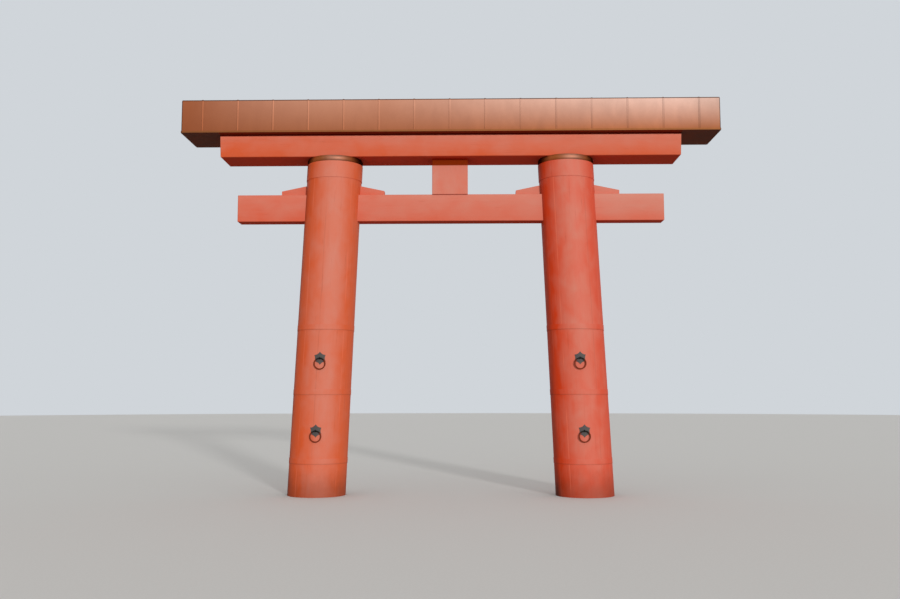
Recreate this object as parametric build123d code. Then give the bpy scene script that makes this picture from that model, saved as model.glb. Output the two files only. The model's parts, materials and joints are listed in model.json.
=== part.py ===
from build123d import *
import os
from math import cos, radians, sin, tan

# A timber torii gate with round columns that lean towards each other, a copper-clad top lintel
# and iron ring pulls on the front of each column.
# Millimetres, +Z up. The origin is on the ground midway between the columns, +X runs along
# the gate and -Y is its front. "side" is -1 for the left half of the gate and +1 for the right.

# Columns
column_spacing = 5200.0  # between the two axes at the ground
column_lean = 2.58  # degrees from upright, towards the middle
foot_radius = 563.0
head_radius = 541.0
column_height = 6490.0
tenon_width = 260.0  # square tenon on each column's head
tenon_depth = 240.0  # how far it enters the lower lintel

# Bands round each column
hoop_levels = {"lower": 616.0, "middle": 1929.0, "upper": 3176.0}  # their lower edges
hoop_height = 107.0
hoop_proud = 5.0
collar_height = 322.0
collar_proud = 8.0

# Cap ring between a column's head and the lower lintel
cap_height = 113.0
cap_proud = 8.0  # beyond the column's head
cap_edge_bulge = 16.0  # depth of its round edge

# Tie beam through both columns, with the wedges that tighten it
tie_beam_drop = 606.0  # from the columns' heads down to its top
tie_beam_length = 8444.0
tie_beam_height = 533.0
tie_beam_thickness = 326.0
wedge_thickness = 145.0
wedge_reach = 483.0  # outside the column's face
wedge_end_height = 93.0
wedge_peak_height = 195.0  # where the wedge enters the column
wedge_toe_height = 142.0  # at its end inside the column
wedge_toe_gap = 30.0  # from that end to the column's axis

# Centre strut between the tie beam and the lower lintel
strut_width = 707.0
strut_thickness = 388.0
strut_tenon_length = 90.0
strut_tenon_width = 300.0
strut_tenon_thickness = 110.0

# Lower lintel
lower_lintel_top_length = 9096.0
lower_lintel_bottom_length = 9061.0
lower_lintel_height = 455.0
lower_lintel_depth = 772.0

# Upper lintel: a timber core in a jacket of sheet copper
upper_lintel_length = 10554.0
upper_lintel_depth = 1116.0
upper_lintel_height = 698.0
ridge_rise = 45.0  # fall of the top, from its middle line to its long edges
jacket_edge_radius = 24.0
sheet_thickness = 3.0
sheet_return = 12.0  # flat strip that a side sheet turns over the rounded edge
hem_height = 36.0
hem_proud = 8.0
hem_drop = 3.0  # below the soffit
seam_pitch = 695.0
seam_width = 40.0
seam_proud = 7.0
seam_rise = 6.0  # of its sloping sides
seam_slope = 16.0  # and their width
shortest_end_panel = 200.0

# Ring pulls on the column fronts
ring_levels = {"lower": 1249.0, "upper": 2628.0}
ring_outer_diameter = 230.0
ring_bar_diameter = 23.0
plate_reach = 126.0  # from the plate's centre to each of its six points
plate_waist = 92.0  # from its centre to the middle of each hollow side
plate_thickness = 6.0
plate_tip_radius = 4.0
eye_bar_diameter = 11.0
eye_play = 2.0  # round the ring's bar
eye_stand_off = 1.0  # from the plate to the back of the eye
shank_diameter = 14.0
shank_depth = 120.0  # inside the column

# Fits
slide_clearance = 1.0  # each side of a beam or tenon in its mortise
wrap_clearance = 0.3  # between curved faces, and under a hanging ring
timber_chamfer = 8.0
wedge_chamfer = 5.0

# Levels and places worked out from the sizes above
tie_beam_top = column_height - tie_beam_drop
tie_beam_level = tie_beam_top - tie_beam_height
lower_lintel_level = column_height + cap_height
upper_lintel_level = lower_lintel_level + lower_lintel_height
upper_lintel_top = upper_lintel_level + upper_lintel_height
ring_radius = (ring_outer_diameter - ring_bar_diameter) / 2
eye_hole_radius = ring_bar_diameter / 2 + eye_play
eye_radius = eye_hole_radius + eye_bar_diameter / 2
SIDES = {"left": -1, "right": 1}


def column_radius(level):
    """Radius of the tapering column at a level."""
    return foot_radius + (head_radius - foot_radius) * level / column_height


def column_axis(side, level):
    """X of the leaning column's axis at a level."""
    return side * (column_spacing / 2 - level * tan(radians(column_lean)))


def shaft(side, low, high, proud=0.0):
    """The leaning column's round form between two levels, larger in radius by proud."""
    overrun = 2 * foot_radius * tan(radians(column_lean)) + 10
    length = column_height + 2 * overrun
    cone = Cone(
        column_radius(-overrun) + proud,
        column_radius(column_height + overrun) + proud,
        length,
        align=(Align.CENTER, Align.CENTER, Align.MIN),
    )
    foot = Pos(side * column_spacing / 2, 0, 0) * Rotation(0, -side * column_lean, 0)
    width = column_spacing
    slab = Box(width, 4 * foot_radius, high - low, align=(Align.CENTER, Align.CENTER, Align.MIN))
    return foot * Pos(0, 0, -overrun) * cone & Pos(side * column_spacing / 2, 0, low) * slab


def block(length, depth, low, high, x=0.0, y=0.0):
    """An upright rectangular block from one level to another."""
    box = Box(length, depth, high - low, align=(Align.CENTER, Align.CENTER, Align.MIN))
    return Pos(x, y, low) * box


def head_tenon(side, clearance=0.0):
    """The square tenon that rises from a column's head through the cap ring into the lintel."""
    width = tenon_width + 2 * clearance
    top = lower_lintel_level + tenon_depth + clearance
    return block(width, width, column_height, top, x=column_axis(side, column_height))


def tie_mortise(side):
    """The level slot through a column for the tie beam, with a narrower one for the wedges."""
    middle = column_axis(side, tie_beam_top)
    length = 4 * foot_radius
    beam_width = tie_beam_thickness + 2 * slide_clearance
    ceiling = tie_beam_top + slide_clearance
    wedge_width = wedge_thickness + 2 * slide_clearance
    roof = tie_beam_top + wedge_peak_height + slide_clearance
    slot = block(length, beam_width, tie_beam_level, ceiling, x=middle)
    return slot + block(length, wedge_width, tie_beam_top, roof, x=middle)


def pivot(side, level):
    """Centre of the ring's bar where it hangs in its eye."""
    eye_depth = eye_radius + eye_bar_diameter / 2
    front = column_radius(level) + plate_thickness + eye_stand_off + eye_depth
    return Vector(column_axis(side, level), -front, level)


def shank(side, level, clearance=0.0):
    """The staple's straight leg, from its eye through the plate into the column."""
    centre = pivot(side, level)
    start = centre.Y + eye_radius
    end = -column_radius(level) + shank_depth
    bar = Cylinder(
        shank_diameter / 2 + clearance,
        end - start + clearance,
        align=(Align.CENTER, Align.CENTER, Align.MIN),
    )
    return Pos(centre.X, start, level + eye_play - wrap_clearance) * Rotation(-90, 0, 0) * bar


def column(side):
    """A column with its head tenon, the tie beam's mortise and the holes for the staples."""
    body = shaft(side, 0, column_height) + head_tenon(side)
    body -= tie_mortise(side)
    for level in ring_levels.values():
        body -= shank(side, level, clearance=wrap_clearance)
    return body


def band(side, low, high, proud):
    """A level band that wraps a column."""
    return shaft(side, low, high, proud) - shaft(side, low - 1, high + 1, wrap_clearance)


def cap_ring(side):
    """The round-edged disc that a column's head carries."""
    radius = head_radius + cap_proud
    flat = radius - cap_edge_bulge
    edge = ThreePointArc((flat, 0), (radius, cap_height / 2), (flat, cap_height))
    rest = Polyline((flat, cap_height), (0, cap_height), (0, 0), (flat, 0))
    disc = revolve(Plane.XZ * make_face([edge, rest]), Axis.Z)
    place = Pos(column_axis(side, column_height), 0, column_height)
    return place * disc - head_tenon(side, slide_clearance)


def tie_beam():
    """The beam through both columns, with a socket for the strut's lower tenon."""
    beam = block(tie_beam_length, tie_beam_thickness, tie_beam_level, tie_beam_top)
    beam = chamfer(beam.edges(), timber_chamfer)
    return beam - strut_tenon(tie_beam_top, -1, slide_clearance)


def strut_tenon(level, up, clearance=0.0):
    """One of the strut's stub tenons, which starts at a level and points up (1) or down (-1)."""
    length = strut_tenon_length + clearance
    low = min(level, level + up * length)
    width = strut_tenon_width + 2 * clearance
    thickness = strut_tenon_thickness + 2 * clearance
    return block(width, thickness, low, low + length)


def centre_strut():
    """The strut between the tie beam and the lower lintel."""
    body = block(strut_width, strut_thickness, tie_beam_top, lower_lintel_level)
    body = chamfer(body.edges().filter_by(Axis.Z), timber_chamfer)
    return body + strut_tenon(tie_beam_top, -1) + strut_tenon(lower_lintel_level, 1)


def wedge(side, way):
    """A wedge on the tie beam. way is +1 on the outer side of its column and -1 on the inner."""
    face = column_radius(tie_beam_top)
    half = wedge_thickness / 2
    mouth = (face**2 - half**2) ** 0.5
    outline = [
        (wedge_toe_gap, 0),
        (face + wedge_reach, 0),
        (face + wedge_reach, wedge_end_height),
        (mouth, wedge_peak_height),
        (wedge_toe_gap, wedge_toe_height),
    ]
    profile = make_face(Polyline(*outline, close=True))
    solid = extrude(Plane.XZ * profile, half, both=True)
    solid = chamfer(solid.edges().filter_by(Axis.Y).sort_by(Axis.X)[-2:], wedge_chamfer)
    if side * way < 0:
        solid = mirror(solid, Plane.YZ)
    return Pos(column_axis(side, tie_beam_top), 0, tie_beam_top) * solid


def lower_lintel():
    """The lintel under the copper one, its ends raked in towards the bottom."""
    bottom = lower_lintel_bottom_length / 2
    top = lower_lintel_top_length / 2
    outline = [
        (-bottom, lower_lintel_level),
        (bottom, lower_lintel_level),
        (top, upper_lintel_level),
        (-top, upper_lintel_level),
    ]
    profile = make_face(Polyline(*outline, close=True))
    beam = extrude(Plane.XZ * profile, lower_lintel_depth / 2, both=True)
    beam = chamfer(beam.edges(), timber_chamfer)
    for side in SIDES.values():
        beam -= head_tenon(side, slide_clearance)
    return beam - strut_tenon(lower_lintel_level, 1, slide_clearance)


def lintel_profile(grow):
    """Cross-section of the upper lintel, larger all round than the jacket by grow."""
    half = upper_lintel_depth / 2 + grow
    eaves = upper_lintel_top - ridge_rise + grow
    outline = [
        (-half, upper_lintel_level),
        (half, upper_lintel_level),
        (half, eaves),
        (0, upper_lintel_top + grow),
        (-half, eaves),
    ]
    face = make_face(Polyline(*outline, close=True))
    corners = face.vertices().group_by(Axis.Y)[1]
    return fillet(corners, jacket_edge_radius + grow)


def lintel_block(grow):
    """The upper lintel's rounded form, larger all round than the jacket by grow."""
    half = upper_lintel_length / 2 + grow
    body = extrude(Plane.YZ * lintel_profile(grow), half, both=True)
    ends = body.edges().filter_by(lambda edge: abs(abs(edge.center().X) - half) < 0.01)
    rounded = [edge for edge in ends if edge.center().Z > upper_lintel_level + 1]
    return fillet(rounded, jacket_edge_radius + grow)


def jacket():
    """The copper round the upper lintel's core, with the hem along its lower edge."""
    inner = lintel_block(-sheet_thickness)
    shell = lintel_block(0) - inner
    length = upper_lintel_length + 2 * hem_proud
    depth = upper_lintel_depth + 2 * hem_proud
    hem = block(
        length, depth, upper_lintel_level - hem_drop, upper_lintel_level + hem_height - hem_drop
    )
    hem = fillet(hem.edges().filter_by(Axis.Z), jacket_edge_radius + hem_proud)
    hollow = block(
        upper_lintel_length - 2 * sheet_thickness,
        upper_lintel_depth - 2 * sheet_thickness,
        upper_lintel_level - hem_drop,
        upper_lintel_level + hem_height,
    )
    hollow = fillet(hollow.edges().filter_by(Axis.Z), jacket_edge_radius - sheet_thickness)
    return shell + (hem - hollow)


def jacket_sheets():
    """The jacket parted into its sheets, keyed by node name."""
    whole = jacket()
    inset = jacket_edge_radius + sheet_return
    middle_length = upper_lintel_length - 2 * inset
    middle_depth = upper_lintel_depth - 2 * inset
    low = upper_lintel_level - hem_drop
    high = upper_lintel_top
    far = upper_lintel_length
    waist = (low + high) / 2
    sheets = {"copper_top": whole & block(middle_length, middle_depth, waist, high)}
    for name, way in {"copper_front": -1, "copper_back": 1}.items():
        strip = block(middle_length, far, low, high, y=way * (middle_depth + far) / 2)
        sheets[name] = whole & strip
    for name, way in {"copper_left_end": -1, "copper_right_end": 1}.items():
        sheets[name] = whole & block(far, far, low, high, x=way * (middle_length + far) / 2)
    return sheets


def soffit():
    """The copper under the upper lintel, round the lower lintel's head."""
    sheet = block(
        upper_lintel_length - 2 * sheet_thickness - 2 * wrap_clearance,
        upper_lintel_depth - 2 * sheet_thickness - 2 * wrap_clearance,
        upper_lintel_level - sheet_thickness,
        upper_lintel_level,
    )
    sheet = fillet(sheet.edges().filter_by(Axis.Z), jacket_edge_radius - sheet_thickness)
    hole = block(
        lower_lintel_top_length + 2 * slide_clearance,
        lower_lintel_depth + 2 * slide_clearance,
        upper_lintel_level - sheet_thickness,
        upper_lintel_level,
    )
    return sheet - hole


def seams():
    """The standing seams over the jacket, as lists of solids keyed by node name."""
    high = upper_lintel_top + 2 * seam_proud
    low = upper_lintel_level + hem_height - hem_drop
    outer = extrude(Plane.YZ * lintel_profile(seam_proud), seam_width / 2, both=True)
    for end in (Axis.X, -Axis.X):
        face = outer.faces().sort_by(end)[-1]
        outer = chamfer(face.edges(), seam_rise, seam_slope, reference=face)
    inner = extrude(Plane.YZ * lintel_profile(0), seam_width, both=True)
    rib = (outer - inner) & block(seam_width, 2 * upper_lintel_depth, low, high)
    top_depth = upper_lintel_depth - 2 * (jacket_edge_radius + sheet_return)
    middle = block(2 * seam_width, top_depth, low, high)
    top = rib & middle
    sides = (rib - middle).solids().sort_by(Axis.Y)
    count = int((upper_lintel_length / 2 - shortest_end_panel) // seam_pitch)
    places = [Pos(index * seam_pitch, 0, 0) for index in range(-count, count + 1)]
    return {
        "top_seams": [place * top for place in places],
        "front_seams": [place * sides[0] for place in places],
        "back_seams": [place * sides[-1] for place in places],
    }


def ring_plate(side, level):
    """A six-pointed iron plate bent round the front of the column, with the staple's hole."""
    arcs = []
    for index in range(6):
        a, b, c = (radians(90 + 60 * index + step) for step in (0, 30, 60))
        arcs.append(
            ThreePointArc(
                (plate_reach * cos(a), plate_reach * sin(a)),
                (plate_waist * cos(b), plate_waist * sin(b)),
                (plate_reach * cos(c), plate_reach * sin(c)),
            )
        )
    star = make_face(arcs)
    star = fillet(star.vertices(), plate_tip_radius)
    centre = pivot(side, level)
    prism = Pos(centre.X, 0, level) * extrude(Plane.XZ * star, 2 * foot_radius, dir=(0, -1, 0))
    wrap = band(side, level - 1.1 * plate_reach, level + 1.1 * plate_reach, plate_thickness)
    return (wrap & prism) - shank(side, level, clearance=wrap_clearance)


def ring_staple(side, level):
    """The eye that a ring hangs in, forged on its shank."""
    centre = pivot(side, level)
    eye = Rotation(0, 90, 0) * Torus(eye_radius, eye_bar_diameter / 2)
    placed = Pos(centre.X, centre.Y, level + eye_play - wrap_clearance) * eye
    return placed + shank(side, level)


def ring(side, level):
    """A round ring that hangs by the top of its bar."""
    centre = pivot(side, level)
    loop = Rotation(90, 0, 0) * Torus(ring_radius, ring_bar_diameter / 2)
    return Pos(centre.X, centre.Y, level - ring_radius) * loop


def gate():
    """Every node of the gate, keyed by name."""
    nodes = {
        "tie_beam": tie_beam(),
        "centre_strut": centre_strut(),
        "lower_lintel": lower_lintel(),
        "upper_lintel": lintel_block(-sheet_thickness - wrap_clearance),
        "copper_soffit": soffit(),
    }
    nodes.update(jacket_sheets())
    for name, strips in seams().items():
        nodes[name] = Compound(children=strips)
    for word, side in SIDES.items():
        nodes[f"{word}_column"] = column(side)
        nodes[f"{word}_cap_ring"] = cap_ring(side)
        collar_low = column_height - collar_height
        nodes[f"{word}_top_collar"] = band(side, collar_low, column_height, collar_proud)
        nodes[f"{word}_outer_wedge"] = wedge(side, 1)
        nodes[f"{word}_inner_wedge"] = wedge(side, -1)
        for place, level in hoop_levels.items():
            nodes[f"{word}_{place}_hoop"] = band(side, level, level + hoop_height, hoop_proud)
        for place, level in ring_levels.items():
            nodes[f"{word}_{place}_ring_plate"] = ring_plate(side, level)
            nodes[f"{word}_{place}_ring_staple"] = ring_staple(side, level)
            nodes[f"{word}_{place}_ring"] = ring(side, level)
    return nodes


os.makedirs("parts", exist_ok=True)
for name, shape in gate().items():
    export_step(shape, f"parts/{name}.step")
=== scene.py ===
import json
import math
from typing import NamedTuple

import bpy
from mathutils import Matrix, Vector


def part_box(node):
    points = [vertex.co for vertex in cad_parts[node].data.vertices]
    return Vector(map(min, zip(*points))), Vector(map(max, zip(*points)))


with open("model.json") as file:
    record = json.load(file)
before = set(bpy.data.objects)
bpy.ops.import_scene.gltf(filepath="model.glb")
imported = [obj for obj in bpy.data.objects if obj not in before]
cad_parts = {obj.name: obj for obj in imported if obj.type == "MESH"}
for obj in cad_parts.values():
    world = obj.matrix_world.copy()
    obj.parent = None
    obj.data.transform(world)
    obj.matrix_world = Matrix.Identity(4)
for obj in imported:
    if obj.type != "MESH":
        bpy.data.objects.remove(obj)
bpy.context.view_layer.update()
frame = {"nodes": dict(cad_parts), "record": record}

# Looks for a timber torii gate. Metres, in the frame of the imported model: +X runs along the gate,
# -Y is its front and z = 0 is the ground. No piece is added: every node of the CAD gets its
# procedural material, and then come the floor, the light and the camera.
#
# A range of two numbers gives the values between which something grows from 0 to 1. In a range of
# four the last two are what it has below and above. Colours are linear, except in srgb().

scene = bpy.context.scene
SIDES = {"left": -1, "right": 1}  # the sign of x of each column


# ---------------------------------------------------------------- sizes read from the frame

def middle(node):
    low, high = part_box(node)
    return (low + high) / 2


mounts = {mount["name"]: mount for mount in frame["record"]["mounts"]}
foot_x = abs(mounts["right_foot"]["pos_m"][0])
foot_radius = mounts["right_foot"]["dims"]["r_mm"] / 1000
column_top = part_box("right_top_collar")[1].z
lean = (foot_x - middle("right_cap_ring").x) / column_top  # a column axis's run per metre of height
hem_level, eave_level = (corner.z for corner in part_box("copper_front"))
half_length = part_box("copper_right_end")[1].x


# ---------------------------------------------------------------- node trees

SEED_STEPS = 1.0, 1.7, 0.6  # how far a seed of 1 shifts a noise along x, y and z
MIX_A, MIX_B, MIX_RESULT = 6, 7, 2  # the colour sockets of a Mix node
NOISE_RANGE = 0.3, 0.7  # where nearly all values of a noise lie


class Layer(NamedTuple):
    """A layer of noise. scale is its fineness per metre, seed is added to the seed of the surface,
    and pull is the factor by which it follows the stretch of the surface."""
    scale: float
    detail: float = 3.0
    roughness: float = 0.5
    seed: float = 0.0
    pull: float = 1.0
    warp: float = 0.0


class Tree:
    """A material's node tree, with short ways to add nodes."""

    def __init__(self, name):
        self.material = bpy.data.materials.new(name)
        self.material.use_nodes = True
        self.tree = self.material.node_tree
        self.tree.nodes.clear()
        self.coords = self.add("ShaderNodeTexCoord").outputs["Object"]
        self.x, self.y, self.z = self.split(self.coords)
        geometry = self.add("ShaderNodeNewGeometry")
        self.normal_x, self.normal_y, self.normal_z = self.split(geometry.outputs["Normal"])

    def put(self, socket, value):
        """Links or sets a socket."""
        if isinstance(value, bpy.types.NodeSocket):
            self.tree.links.new(value, socket)
        elif isinstance(value, tuple) and len(value) == 3 and socket.type == "RGBA":
            socket.default_value = (*value, 1.0)
        else:
            socket.default_value = value

    def add(self, kind, settings=None, **inputs):
        node = self.tree.nodes.new(kind)
        for name, value in (settings or {}).items():
            setattr(node, name, value)
        for name, value in inputs.items():
            self.put(node.inputs[name.replace("_", " ")], value)
        return node

    def split(self, vector):
        node = self.add("ShaderNodeSeparateXYZ", Vector=vector)
        return (node.outputs[axis] for axis in "XYZ")

    def vector(self, x, y, z):
        return self.add("ShaderNodeCombineXYZ", X=x, Y=y, Z=z).outputs[0]

    def math(self, operation, *values):
        node = self.add("ShaderNodeMath", {"operation": operation})
        for socket, value in zip(node.inputs, values):
            self.put(socket, value)
        return node.outputs[0]

    def absolute(self, value):
        return self.math("ABSOLUTE", value)

    def highest(self, a, b):
        return self.math("MAXIMUM", a, b)

    def power(self, value, exponent):
        return self.math("POWER", value, exponent)

    def times(self, a, b):
        return self.math("MULTIPLY", a, b)

    def sum(self, *terms):
        """The sum of (weight, value) pairs and plain numbers."""
        total = sum(term for term in terms if not isinstance(term, tuple))
        for weight, value in (term for term in terms if isinstance(term, tuple)):
            total = self.math("MULTIPLY_ADD", value, weight, total)
        return total

    def ramp(self, value, low, high, start=0.0, end=1.0, **settings):
        """start below low, end above high, and a straight way between."""
        node = self.add("ShaderNodeMapRange", {"clamp": True, **settings})
        for socket, amount in zip(node.inputs, (value, low, high, start, end)):
            self.put(socket, amount)
        return node.outputs[0]

    def span(self, value, low, high, start=0.0, end=1.0):
        """The same with a smooth way between."""
        return self.ramp(value, low, high, start, end, interpolation_type="SMOOTHSTEP")

    def near(self, value, at, width):
        """1 where value is at, fading to 0 width away."""
        return self.span(self.absolute(self.sum(-at, (1.0, value))), 0.0, width, 1.0, 0.0)

    def noise(self, layer, stretch=(1, 1, 1), seed=0.0, coords=None):
        """Noise from 0 to 1. A larger stretch draws it out along that axis."""
        at = self.add(
            "ShaderNodeMapping",
            Vector=coords or self.coords,
            Location=tuple((seed + layer.seed) * step for step in SEED_STEPS),
            Scale=tuple(layer.scale / (1 + (s - 1) * layer.pull) for s in stretch),
        ).outputs[0]
        node = self.add("ShaderNodeTexNoise", Vector=at, Scale=1.0, Detail=layer.detail,
                        Roughness=layer.roughness, Distortion=layer.warp)
        return node.outputs["Fac"]

    def mix(self, factor, a, b):
        node = self.add("ShaderNodeMix", {"data_type": "RGBA", "clamp_factor": True})
        for index, value in ((0, factor), (MIX_A, a), (MIX_B, b)):
            self.put(node.inputs[index], value)
        return node.outputs[MIX_RESULT]

    def scale(self, color, factor):
        node = self.add("ShaderNodeVectorMath", {"operation": "SCALE"}, Scale=factor)
        self.put(node.inputs[0], color)
        return node.outputs[0]

    def finish(self, color, roughness, height=None, depth=0.0, **constants):
        """Ends in a Principled shader. height is a bump from 0 to 1, depth its size in metres."""
        shader = self.add("ShaderNodeBsdfPrincipled", Base_Color=color, Roughness=roughness,
                          **constants)
        if height is not None:
            bump = self.add("ShaderNodeBump", Strength=1.0, Distance=depth, Height=height)
            self.put(shader.inputs["Normal"], bump.outputs[0])
        output = self.add("ShaderNodeOutputMaterial")
        self.put(output.inputs["Surface"], shader.outputs[0])
        return self.material


def shifted(start, steps):
    """A range with its first two numbers moved by start."""
    return tuple(start + step for step in steps[:2]) + steps[2:]


def srgb(red, green, blue):
    """A colour given as 0 to 255 screen values, as the linear values that nodes take."""
    def linear(value):
        value /= 255
        return value / 12.92 if value <= 0.04045 else ((value + 0.055) / 1.055) ** 2.4
    return tuple(linear(value) for value in (red, green, blue))


# ---------------------------------------------------------------- painted timber

# The paint goes from the fresh red of its piece to BLEACHED_AND_SHEEN, which stands both for
# bleaching and for painted sheen.
BLEACHED_AND_SHEEN = (0.655, 0.245, 0.180)
BEAM_RED = (0.688, 0.097, 0.039)
LINTEL_RED = (0.676, 0.106, 0.034)
COLUMN_REDS = {  # towards -X, deeper and more saturated as painted shade, and towards +X
    "left": ((0.732, 0.110, 0.030), (0.69, 0.122, 0.044)),
    "right": ((0.77, 0.060, 0.010), (0.68, 0.095, 0.048)),
}
SHELTERED = (0.68, 0.069, 0.026)  # on the undersides
STRUT_PAINTED_SHADOW = (0.22, 0.0215, 0.0), (0.70, 0.014, 0.0)  # painted shadow of the lower lintel on the strut, where the key light reaches and, lighter, where the key light's shadow falls
# Painted shadow of the copper's overhang on the top of the lower lintel.
LINTEL_PAINTED_SHADOW = (0.22, 0.005, 0.0)
JOINT_PALE = (0.95, 0.23, 0.13)
# Grime for the checks and the dark joints, which the columns also take for painted shade.
GRIME_AND_SHADE = (0.117, 0.025, 0.010)
NO_PAINTED_SHADOW = 0.0, GRIME_AND_SHADE

CLOUDS = Layer(1.6, detail=2.0, pull=0.12)
PATCHES = Layer(4.2, detail=2.0, roughness=0.45, seed=5, pull=0.12, warp=0.3)
STREAKS = Layer(22.0, roughness=0.6, seed=9, pull=3.0)
GRAIN = Layer(85.0, detail=4.0, roughness=0.65, seed=13, pull=5.0)
CLOUD_SHARE, STREAK_SHARE = 0.5, 0.2  # in the unevenness of the bleaching, beside the patches' own
COLUMN_MOTTLE, BEAM_MOTTLE = 0.78, 0.56  # the patches' share
FACING_DOWN = -0.9, -0.6, 1.0, 0.0  # by the normal's z
CHECKS = 0.3, 0.42, 0.2, 0.0  # share of the fine dark checks, by the fine noise
PAINT_ROUGHNESS = 0.5, 0.66
PAINT_GLOSS = 0.12  # specular level
PAINT_RELIEF = 0.003


def paint(t, bleach_and_sheen, deep, mottle, stretch, seed, coords=None, dirt_and_shade=0.0, lines=(), shade=1.0,
          painted_shadow=NO_PAINTED_SHADOW):
    """Ends a tree as weathered paint. bleach is 0 for fresh paint, of the colour deep, and 1 for
    pale salmon, which stands both for bleaching and for painted sheen, and mottle is how far
    patches differ in it. dirt is the share of GRIME_AND_SHADE, a part of which is painted shade.
    lines are shares and colours of thin lines on the paint, and cover is the share and the colour
    of a painted shadow that lies over all of it. shade is a factor of painted light and shade for
    the rest."""
    clouds, patches, streaks, grain = (
        t.noise(layer, stretch, seed, coords) for layer in (CLOUDS, PATCHES, STREAKS, GRAIN)
    )
    even = -(CLOUD_SHARE + mottle + STREAK_SHARE) / 2  # keeps the mean of the bleaching
    bleach_and_sheen = t.sum(even, (1.0, bleach_and_sheen), (CLOUD_SHARE, clouds), (mottle, patches),
                   (STREAK_SHARE, streaks))
    down = t.span(t.normal_z, *FACING_DOWN)
    checks = t.span(t.sum((0.55, streaks), (0.45, grain)), *CHECKS)
    color = t.mix(bleach_and_sheen, deep, BLEACHED_AND_SHEEN)
    for share, over in ((down, SHELTERED), (checks, GRIME_AND_SHADE), (dirt_and_shade, GRIME_AND_SHADE), *lines):
        color = t.mix(share, color, over)
    color = t.mix(painted_shadow[0], t.scale(color, shade), painted_shadow[1])
    roughness = t.span(t.sum((0.6, patches), (0.4, streaks)), *NOISE_RANGE, *PAINT_ROUGHNESS)
    roughness = t.highest(roughness, t.highest(down, painted_shadow[0]))
    height = t.sum((0.5, streaks), (0.35, grain), (0.15, patches))
    return t.finish(color, roughness, height, PAINT_RELIEF, Specular_IOR_Level=PAINT_GLOSS)


COLUMN_STRETCH = 1, 1, 6
COLUMNS_APART = 7.0  # how far the noise of one column lies from the other's
# The way that a column's painted sheen faces, from -Y towards +X, and how fast that fades.
SHEEN_FACING = {"left": (math.radians(8), 1.8), "right": (math.radians(-2), 1.4)}
TURNED_AWAY = 0.55  # the cosine to that way at which the painted sheen ends
LOW_SHEEN = 0.1, 1.3, 0.33, 0.56  # factors for the painted sheen, by height
HIGH_SHEEN = 2.5, 4.6, 1.0, 1.15
RED_TURN = -0.5, 0.64  # from the first of a column's reds to the second, by the sine of the angle

JOINT_WIDTH = 0.016
JOINT_LAYER = Layer(4.0, detail=2.0, seed=19)
JOINT_WEAR = 0.40, 0.60, 0.15, 1.0  # how much of a stave joint shows, by its noise

FOOT_LAYER = Layer(5.0, detail=4.0, roughness=0.6, seed=2)
FOOT_RAGGED = 0.3  # metres by which that noise shifts the darkening
FOOT_DARKENING = -0.16, 0.50, 0.47, 0.0  # share of the darkening towards the foot, by height
FOOT_DARKENING_TURN = TURNED_AWAY, 1.0, 1.17, 0.92  # factor for it, by the cosine to the way of the painted sheen

# A stripe of painted shade on each column's side towards -X, away from the key light, ragged by a
# noise: its edge towards the front, and the way that it fades out behind, by the angle.
LEE_LAYER = Layer(2.4, roughness=0.6, seed=23)
LEE_RAGGED = 0.5
LEE_FRONT = math.radians(-80), math.radians(-54), 0.45, 0.0
LEE_BACK = math.radians(-165), math.radians(-95)
TALL = 1, 1, 3  # the stretch of that noise and of the stave joints' wear

HOOP_EDGE_SHADE = 0.24  # painted shade along the lower edge of a hoop
HOOP_EDGE_SHADE_WIDTH = 0.02


def column_paint(name, word, seed, joints=(), edge=None):
    """Paint on a leaning column. joints are the angles of its stave joints, in degrees from -Y,
    each with the share that shows of a pale or, below 0, a dark line. edge is the level of a band's
    lower edge, along which runs a line of painted shade."""
    t = Tree(name)
    side = SIDES[word]
    axis = t.sum(side * foot_x, (-side * lean, t.z))
    across = t.math("SUBTRACT", t.x, axis)
    angle = t.math("ARCTAN2", across, t.times(t.y, -1.0))
    coords = t.vector(t.sum(side * COLUMNS_APART, (1.0, across)), t.y, t.z)

    # Painted sheen: the paint is paler on the side where the key light's highlight falls.
    azimuth, fade = SHEEN_FACING[word]
    facing = t.absolute(t.math("COSINE", t.sum(-azimuth, (1.0, angle))))
    bleach_and_sheen = t.power(t.ramp(facing, TURNED_AWAY, 1.0), fade)
    for by_height in (LOW_SHEEN, HIGH_SHEEN):
        bleach_and_sheen = t.times(bleach_and_sheen, t.span(t.z, *by_height))
    # The deeper red towards -X, the side away from the key light, is painted shade.
    deep = t.mix(t.span(t.math("SINE", angle), *RED_TURN), *COLUMN_REDS[word])

    lines = []
    wear = t.span(t.noise(JOINT_LAYER, TALL, seed, coords), *JOINT_WEAR)
    for degrees, share in joints:
        line = t.times(t.near(angle, math.radians(degrees), JOINT_WIDTH / foot_radius), abs(share))
        lines.append((t.times(line, wear), JOINT_PALE if share > 0 else GRIME_AND_SHADE))

    foot = t.sum((1.0, t.z), (-FOOT_RAGGED, t.noise(FOOT_LAYER, seed=seed, coords=coords)))
    foot_darkening = t.times(t.span(foot, *FOOT_DARKENING), t.ramp(facing, *FOOT_DARKENING_TURN))
    # A stripe of painted shade on the side towards -X.
    ragged = t.noise(LEE_LAYER, TALL, seed, coords)
    turned = t.sum(-LEE_RAGGED / 2, (1.0, angle), (LEE_RAGGED, ragged))
    lee_painted_shade = t.times(t.span(turned, *LEE_FRONT), t.span(turned, *LEE_BACK))
    dirt_and_shade = t.sum((1.0, foot_darkening), (1.0, lee_painted_shade))
    # A line of painted shade along a hoop's lower edge.
    if edge:
        dirt_and_shade = t.sum((1.0, dirt_and_shade), (HOOP_EDGE_SHADE, t.near(t.z, edge, HOOP_EDGE_SHADE_WIDTH)))
    return paint(t, bleach_and_sheen, deep, COLUMN_MOTTLE, COLUMN_STRETCH, seed, coords, dirt_and_shade, lines)


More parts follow.
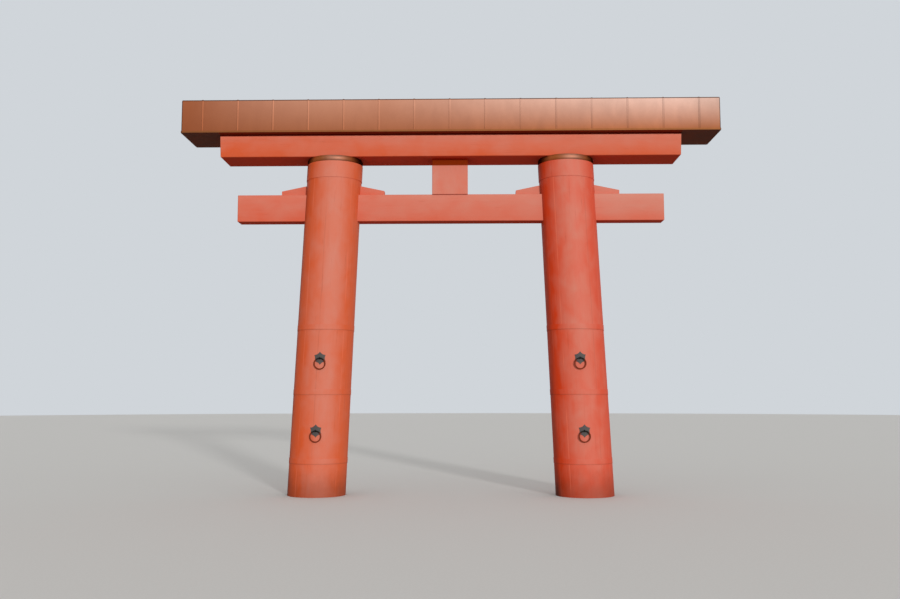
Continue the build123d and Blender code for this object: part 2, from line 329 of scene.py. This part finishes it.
FACING_UP = 0.5, 0.9  # by the normal's z
TOP_BLEACH = 0.7  # on the tops of the timbers, at least
TOP_EDGE = 0.2, 0.45  # where -0.5 is the timber's lower edge and 0.5 its upper one
BAND_SOFTNESS = 0.008  # of the painted shadow strip's lower edge, up and down
BAND_SHADOW = 0.6, 0.3  # how far below the top the key light's shadow begins and is full, as parts of the painted band


def beam_paint(name, node, seed, bleach_and_sheen, rise=0.0, along=0.0, widening=0.0, stretch=(6, 1, 1),
               shades=(1.0, 1.0), edge_shade=1.0, deep=BEAM_RED, band=None):
    """Paint on a straight timber. bleach is the bleaching at the gate's middle, which goes up by
    rise from the timber's lower edge to its upper one and by along in each metre of x, towards the
    key light's side. Both rises are painted light, and the one along x is a painted sheen. The rise
    itself grows by widening in each metre. shades are factors of painted light and shade for the
    lower and the upper part, and edge_shade is one of painted light for the upper edge. band is the
    height of a dark strip of painted shadow along the top, and its colours where the key light
    reaches and where the key light's own shadow falls."""
    t = Tree(name)
    low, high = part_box(node)
    part = t.sum(-low.z / (high.z - low.z) - 0.5, (1 / (high.z - low.z), t.z))
    # Painted sheen: paler towards +X, the key light's side, and towards the upper edge.
    bleach_and_sheen = t.sum(bleach_and_sheen, (along, t.x), (part, t.sum(rise, (widening, t.x))))
    bleach_and_sheen = t.highest(bleach_and_sheen, t.times(t.span(t.normal_z, *FACING_UP), TOP_BLEACH))
    # Painted light and shade: darker towards the lower edge, lighter at the upper edge.
    shade = t.times(t.ramp(part, -0.5, 0.5, *shades), t.span(part, *TOP_EDGE, 1.0, edge_shade))
    painted_shadow = NO_PAINTED_SHADOW
    # band is a painted shadow, lighter on top where the key light's own shadow falls.
    if band:
        height, *colors = band
        shadow = t.span(t.z, *(high.z - height * share for share in BAND_SHADOW))
        inside = t.span(t.z, *shifted(high.z - height, (-BAND_SOFTNESS, BAND_SOFTNESS)))
        painted_shadow = inside, t.mix(shadow, *colors)
    return paint(t, bleach_and_sheen, deep, BEAM_MOTTLE, stretch, seed, shade=shade, painted_shadow=painted_shadow)


# ---------------------------------------------------------------- metals

# The jacket's colours at the left end, in the middle and at the right end, paler towards the
# right end as a painted highlight.
COPPER_LOW = (0.343, 0.105, 0.043), (0.388, 0.140, 0.067), (0.372, 0.136, 0.063)
COPPER_HIGH = (0.400, 0.132, 0.058), (0.540, 0.258, 0.164), (0.598, 0.401, 0.329)
# The ways from the left end's colour to the middle's and from that to the right end's: two places
# as parts of the half length, and an exponent.
LEFT_WAY = (-0.97, -0.42), 2.0
RIGHT_WAY = (-0.25, 0.93), 1.5
RIGHT_END_SHADE = 0.84, 0.94, 1.0, 0.86  # a factor, by the part of the half length
# The low colours end and the high ones begin this far above the hem level and below the eave level.
LOW_END, HIGH_END = 0.05, 0.03
COPPER_UNEVEN = 0.12, 0.08  # shares of the cloud and the stain in the way between them
COPPER_CLOUD = Layer(0.9)
COPPER_STAIN = Layer(4.0, detail=4.0, roughness=0.55, seed=3, warp=0.5)
COPPER_FINE = Layer(60.0, detail=4.0, roughness=0.6, seed=7)
COPPER_ROUGHNESS = 0.61, 0.69
COPPER_RELIEF = 0.01
LEFT_SLOPE = -0.3, -0.15  # painted light on the slopes that face -X, by the normal's x

DARK_RIM_REFLECTION = (0.10, 0.045, 0.030)  # painted dark reflection along the upper edge and the two ends of the upright faces
RIM_TOP = -0.03, -0.02  # from the eave level
RIM_END = -0.032, -0.02  # from the half length
RIM_SHARE = 0.4, 0.8, 0.0, 0.85  # by the normal's y
COPPER_HEM = (0.28, 0.105, 0.035)
HEM_TOP = 0.03, 0.04, 0.8, 0.0  # from the hem level


def sheet_copper(name, seed, left_slope_light=1.0):
    """Weathered sheet copper, paler near its top, and paler towards the right end as a painted
    highlight. worn is a factor of painted light for the slopes that face -X, away from the key
    light."""
    t = Tree(name)
    along = t.times(t.x, 1 / half_length)
    cloud = t.noise(COPPER_CLOUD, (2, 1, 1), seed)
    stain = t.noise(COPPER_STAIN, (1, 1, 2), seed)
    fine = t.noise(COPPER_FINE, (4, 1, 1), seed)

    # The colours grow paler towards the right end as a painted highlight.
    leftward, short_of_right = (
        t.power(t.ramp(along, *places, 1.0, 0.0), exponent)
        for places, exponent in (LEFT_WAY, RIGHT_WAY)
    )
    low, high = (
        t.mix(short_of_right, right, t.mix(leftward, central, left))
        for left, central, right in (COPPER_LOW, COPPER_HIGH)
    )
    upward = t.ramp(t.z, hem_level + LOW_END, eave_level - HIGH_END)
    even = -sum(COPPER_UNEVEN) / 2
    upward = t.sum(even, (1.0, upward), *zip(COPPER_UNEVEN, (cloud, stain)))
    color = t.mix(upward, low, high)

    # Painted dark reflection along the upper edge and the two ends.
    rim = t.highest(t.span(t.z, *shifted(eave_level, RIM_TOP)),
                    t.span(t.absolute(t.x), *shifted(half_length, RIM_END)))
    color = t.mix(t.times(rim, t.span(t.absolute(t.normal_y), *RIM_SHARE)), color, DARK_RIM_REFLECTION)
    color = t.scale(color, t.span(along, *RIGHT_END_SHADE))
    # Painted light on the slopes that face -X.
    color = t.scale(color, t.span(t.normal_x, *LEFT_SLOPE, left_slope_light, 1.0))
    color = t.mix(t.span(t.z, *shifted(hem_level, HEM_TOP)), color, COPPER_HEM)

    uneven = t.sum((0.5, cloud), (0.4, stain), (0.1, fine))
    roughness = t.span(uneven, *NOISE_RANGE, *COPPER_ROUGHNESS)
    height = t.sum((0.85, cloud), (0.1, stain), (0.05, fine))
    return t.finish(color, roughness, height, COPPER_RELIEF, Metallic=1.0)


STAINED = 0.35, 0.7  # from bare to stained, by the noise
SOFFIT_BROWN = (0.148, 0.046, 0.0255)
SOFFIT_RED_BOUNCE = (0.20, 0.021, 0.003)  # painted red bounce light from the lintel, over and near it
SOFFIT_STAIN = Layer(4.0, detail=5.0, roughness=0.6, seed=2)
SOFFIT_STAIN_SCALE = 1.25
SOFFIT_ROUGHNESS = 0.75, 0.9
RED_END = -0.01, 0.01, 1.0, 0.0  # from the lintel's end
RED_SIDE = 0.1, 0.2, 1.0, 0.6  # from the lintel's face


def soffit_copper(name):
    t = Tree(name)
    stain = t.noise(SOFFIT_STAIN)
    color = t.mix(t.span(stain, *STAINED), SOFFIT_BROWN, t.scale(SOFFIT_BROWN, SOFFIT_STAIN_SCALE))
    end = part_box("lower_lintel")[1]
    # Painted red bounce light from the lintel.
    over = t.times(t.span(t.absolute(t.x), *shifted(end.x, RED_END)),
                   t.span(t.absolute(t.y), *shifted(end.y, RED_SIDE)))
    color = t.mix(over, color, SOFFIT_RED_BOUNCE)
    roughness = t.span(stain, *NOISE_RANGE, *SOFFIT_ROUGHNESS)
    return t.finish(color, roughness, stain, depth=0.002, Specular_IOR_Level=0.1)


CAP_COPPER = (0.345, 0.150, 0.095), (0.39, 0.112, 0.032)  # in the middle, paler as a painted highlight, and towards the sides
CAP_MIDDLE = 0.14  # where the first of them lies
CAP_TURN = 0.16, 0.56  # from the first to the second, by the distance from there
CAP_ENDS = 0.66, 0.92, 1.0, 0.12  # painted shade at the two sides: a factor, by the distance from 0
CAP_SIDES = -0.1, 0.5, 1.16, 0.92  # painted light towards -X and painted shade towards +X: a factor, by the place
CAP_STAIN = Layer(5.0, detail=4.0, roughness=0.6, seed=4)
CAP_STAIN_SCALE = 1.0, 1.2
CAP_ROUGHNESS = 0.54, 0.62


def cap_copper(name, node):
    """The roll of copper on a column's head, with a painted highlight in the middle, and dull and
    dark at its two sides as painted shade. Its places go from -1 at its end towards -X to 1 at the
    other."""
    t = Tree(name)
    low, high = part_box(node)
    stain = t.noise(CAP_STAIN)
    along = t.sum(-(low.x + high.x) / (high.x - low.x), (2 / (high.x - low.x), t.x))
    aside = t.absolute(t.sum(-CAP_MIDDLE, (1.0, along)))
    color = t.mix(t.ramp(aside, *CAP_TURN), *CAP_COPPER)
    # The stain, then painted shade at the two sides, painted light towards -X and shade towards +X.
    for factor in (t.span(stain, *STAINED, *CAP_STAIN_SCALE),
                   t.ramp(t.absolute(along), *CAP_ENDS),
                   t.ramp(along, *CAP_SIDES)):
        color = t.scale(color, factor)
    roughness = t.span(stain, *NOISE_RANGE, *CAP_ROUGHNESS)
    return t.finish(color, roughness, stain, depth=0.001, Metallic=1.0,
                    Specular_Tint=CAP_COPPER[1])


# Bare iron, which blotches mix from the first colour to the second.
PLATE_IRON = (0.088, 0.077, 0.080), (0.102, 0.098, 0.080)
DARK_IRON = (0.010, 0.010, 0.009), (0.020, 0.018, 0.014)
RUST = (0.24, 0.032, 0.006)
RING_RUST = 0.95
RUST_LEAST = 0.7  # the part of the rust that the least rusty places have
RUST_END = -0.06, -0.03, 1.0, 0.0  # from the level above which there is none
BLOTCH = Layer(26.0, detail=4.0, roughness=0.65, seed=3)
HAMMER = Layer(60.0, detail=1.0, roughness=0.4, seed=8)
BARE_RANGE = 0.42, 0.68
RUSTY_RANGE = 0.3, 0.6
IRON_ROUGHNESS = 0.5, 0.66


def iron(name, bare, rust=0.0, above=None):
    """Forged iron between two bare colours. rust is the share of it that has rusted, and none has
    near and above the level above."""
    t = Tree(name)
    blotch, hammer = t.noise(BLOTCH), t.noise(HAMMER)
    rusty = t.span(blotch, *RUSTY_RANGE, rust * RUST_LEAST, rust)
    if above:
        rusty = t.times(rusty, t.span(t.z, *shifted(above, RUST_END)))
    color = t.mix(rusty, t.mix(t.span(blotch, *BARE_RANGE), *bare), RUST)
    roughness = t.span(blotch, *NOISE_RANGE, *IRON_ROUGHNESS)
    height = t.sum((0.7, hammer), (0.3, blotch))
    return t.finish(color, roughness, height, depth=0.004, Metallic=0.2, Specular_IOR_Level=0.15)


TIMBER_GRAIN = Layer(14.0, detail=4.0, roughness=0.6, seed=6)
TIMBER_BROWNS = srgb(120, 86, 58), srgb(164, 124, 86)


def bare_timber(name):
    """The timber core inside the jacket, which doesn't show."""
    t = Tree(name)
    grain = t.noise(TIMBER_GRAIN, (12, 1, 1))
    color = t.mix(t.span(grain, *NOISE_RANGE), *TIMBER_BROWNS)
    return t.finish(color, roughness=0.75, height=grain, depth=0.002)


# ---------------------------------------------------------------- the pieces

def dress(material, *nodes):
    for node in nodes:
        mesh = frame["nodes"][node].data
        mesh.materials.clear()
        mesh.materials.append(material)


STAVE_JOINTS = {
    "left": ((-64, 0.2), (-37, 0.42), (-5, -0.12), (47, 0.3), (60, -0.12), (116, 0.2), (158, 0.2),
             (-122, 0.2), (-160, -0.12)),
    "right": ((-59, 0.15), (-34, 0.45), (31, -0.12), (55, 0.22), (124, 0.2), (162, -0.12),
              (-118, 0.2), (-156, 0.2)),
}
COLUMN_SEEDS = {"left": 106.0, "right": 0.0}
BAND_SEED = 31.0
HOOP_LIP = 0.004  # from a hoop's lower edge up to its line of painted shade

for word in SIDES:
    dress(column_paint(f"{word}_column_paint", word, COLUMN_SEEDS[word], STAVE_JOINTS[word]),
          f"{word}_column")
    for band in ("lower_hoop", "middle_hoop", "upper_hoop", "top_collar"):
        node = f"{word}_{band}"
        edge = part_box(node)[0].z + HOOP_LIP if "hoop" in band else None
        dress(column_paint(f"{node}_paint", word, BAND_SEED, edge=edge), node)

dress(beam_paint("tie_beam_paint", "tie_beam", seed=8.3, bleach_and_sheen=0.57, rise=0.40, along=0.044,
                 widening=0.05, shades=(0.97, 1.02), edge_shade=1.02), "tie_beam")
# The lintel's brighter upper edge is painted light against the shade under the copper's overhang.
dress(beam_paint("lintel_paint", "lower_lintel", seed=41.0, bleach_and_sheen=0.335, rise=0.48, along=0.014,
                 widening=0.03, shades=(0.94, 1.13), edge_shade=1.11, deep=LINTEL_RED,
                 band=(0.032, LINTEL_PAINTED_SHADOW, LINTEL_PAINTED_SHADOW)), "lower_lintel")
dress(beam_paint("strut_paint", "centre_strut", seed=17.0, bleach_and_sheen=0.70, stretch=(1, 1, 2),
                 shades=(1.0, 1.02), edge_shade=1.02, band=(0.232, *STRUT_PAINTED_SHADOW)), "centre_strut")
dress(beam_paint("wedge_paint", "left_outer_wedge", seed=53.0, bleach_and_sheen=0.63, rise=0.2, along=0.066),
      *(f"{word}_{place}_wedge" for word in SIDES for place in ("outer", "inner")))

dress(sheet_copper("sheet_copper", seed=58.3),
      *(f"copper_{place}" for place in ("front", "back", "top", "left_end", "right_end")))
dress(sheet_copper("seam_copper", seed=12.0, left_slope_light=1.38), "front_seams", "back_seams", "top_seams")
dress(soffit_copper("soffit_copper"), "copper_soffit")
dress(bare_timber("core_timber"), "upper_lintel")
for word in SIDES:
    dress(cap_copper(f"{word}_cap_copper", f"{word}_cap_ring"), f"{word}_cap_ring")

plate_iron = iron("plate_iron", PLATE_IRON)
for place in ("lower", "upper"):
    ring_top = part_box(f"left_{place}_ring")[1].z
    ring_iron = iron(f"{place}_ring_iron", DARK_IRON, RING_RUST, ring_top)
    for word in SIDES:
        dress(plate_iron, f"{word}_{place}_ring_plate")
        dress(ring_iron, f"{word}_{place}_ring_staple", f"{word}_{place}_ring")


# ---------------------------------------------------------------- floor, light and camera

BACKDROP = srgb(208, 213, 218)
SKY_LIGHT = (0.62, 0.61, 0.60)
FLOOR_SEEN = srgb(206, 206, 204), srgb(216, 216, 214)
FLOOR_LIGHT = srgb(150, 148, 144)  # what the object gets from the floor
FLOOR_SPECK = Layer(30.0, roughness=0.6)


def backdrop_rays(tree, *kinds):
    """1 for camera rays and those of the other kinds, which see the pale backdrop."""
    path = tree.nodes.new("ShaderNodeLightPath")
    total = path.outputs["Is Camera Ray"]
    for name in kinds:
        add = tree.nodes.new("ShaderNodeMath")
        add.operation = "MAXIMUM"
        tree.links.new(total, add.inputs[0])
        tree.links.new(path.outputs[name], add.inputs[1])
        total = add.outputs[0]
    return total


def floor_material():
    t = Tree("floor")
    pale = t.mix(t.noise(FLOOR_SPECK), *FLOOR_SEEN)
    return t.finish(t.mix(backdrop_rays(t.tree), FLOOR_LIGHT, pale), roughness=0.9)


def studio_world():
    world = bpy.data.worlds.new("studio")
    world.use_nodes = True
    tree = world.node_tree
    tree.nodes.clear()
    mix = tree.nodes.new("ShaderNodeMix")
    mix.data_type = "RGBA"
    tree.links.new(backdrop_rays(tree, "Is Glossy Ray", "Is Transmission Ray"), mix.inputs[0])
    mix.inputs[MIX_A].default_value = (*SKY_LIGHT, 1.0)
    mix.inputs[MIX_B].default_value = (*BACKDROP, 1.0)
    background = tree.nodes.new("ShaderNodeBackground")
    tree.links.new(mix.outputs[MIX_RESULT], background.inputs["Color"])
    output = tree.nodes.new("ShaderNodeOutputWorld")
    tree.links.new(background.outputs[0], output.inputs["Surface"])
    return world


def sun(name, azimuth, elevation, strength, spread, color):
    """A far lamp. azimuth is turned from the front (-Y) towards +X, in degrees."""
    lamp = bpy.data.lights.new(name, "SUN")
    lamp.energy = strength
    lamp.angle = math.radians(spread)
    lamp.color = color
    obj = bpy.data.objects.new(name, lamp)
    scene.collection.objects.link(obj)
    obj.rotation_euler = (math.radians(90 - elevation), 0, math.radians(azimuth))


def place_camera(location, yaw, pitch, roll, lens):
    """A camera that looks along -Z, rolled, then pitched up from the ground, then turned, all in
    degrees."""
    data = bpy.data.cameras.new("camera")
    data.sensor_width = 36.0
    data.lens = lens
    data.clip_end = 500.0
    camera = bpy.data.objects.new("camera", data)
    scene.collection.objects.link(camera)
    turn, tilt, twist = (
        Matrix.Rotation(math.radians(angle), 3, axis)
        for angle, axis in ((yaw, "Z"), (pitch, "X"), (roll, "Z"))
    )
    camera.location = location
    camera.rotation_euler = (turn @ tilt @ twist).to_euler()
    scene.camera = camera


bpy.ops.mesh.primitive_circle_add(vertices=96, radius=90.0, fill_type="NGON",
                                  location=(0, 0, -0.001))
floor = bpy.context.object
floor.name = "studio_floor"
floor.data.materials.append(floor_material())

scene.world = studio_world()
sun("key_light", azimuth=21.3, elevation=10.5, strength=1.86, spread=5, color=(1.0, 0.98, 0.96))
place_camera((0.3484, -18.667, 1.9002), yaw=1.0823, pitch=95.8264, roll=-0.0421, lens=37.97)
scene.view_settings.view_transform = "Standard"
